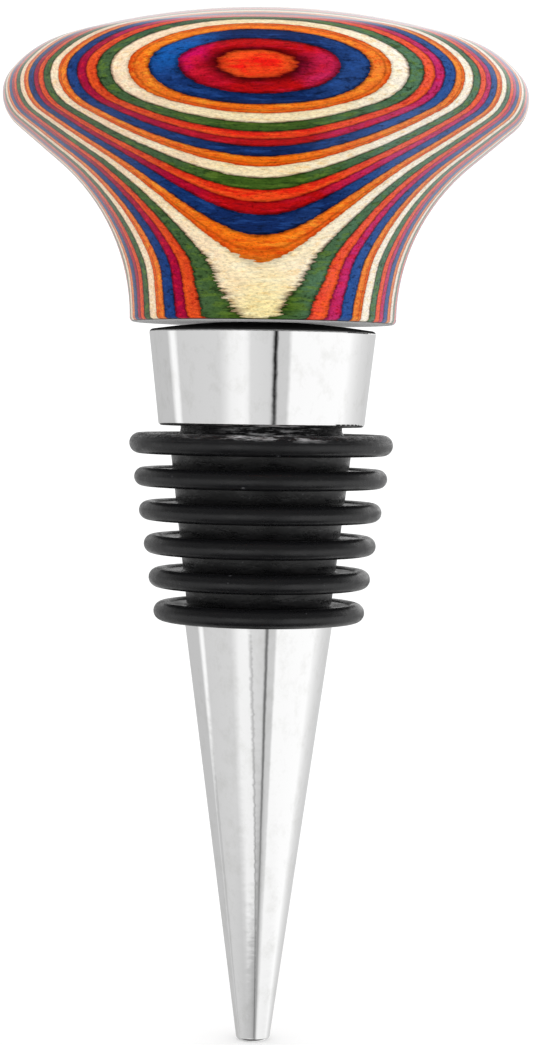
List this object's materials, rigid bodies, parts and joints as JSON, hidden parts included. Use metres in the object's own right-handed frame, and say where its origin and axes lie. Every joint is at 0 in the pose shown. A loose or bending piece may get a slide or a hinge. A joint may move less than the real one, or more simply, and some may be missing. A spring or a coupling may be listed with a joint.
{
  "type": "bottle stopper",
  "caption": "Tapered metal bottle stopper with a ribbed rubber seal and a flared, domed head turned from dyed laminated wood.",
  "frame": {"origin": "on the axis at the collar's underside, the face that stops on the lip of a bottle", "axes": "+Z along the axis towards the crown of the wooden head, -Z into the bottle; -Y is the front, the side that the face of the wood's veneers looks towards"},
  "size_m": [0.05, 0.05, 0.0986],
  "materials": {
    "laminated_wood": "dyed birch veneers in stripes of red, crimson, blue, orange, cream and green under a clear satin lacquer",
    "chrome_plate": "bright chrome plate on a die casting",
    "seal_rubber": "satin black moulded rubber",
    "stud_steel": "plain threaded steel"
  },
  "bodies": {
    "root": {"wooden_head": "laminated_wood", "stopper_body": "chrome_plate", "ribbed_seal": "seal_rubber", "threaded_stud": "stud_steel"}
  },
  "joints": []
}
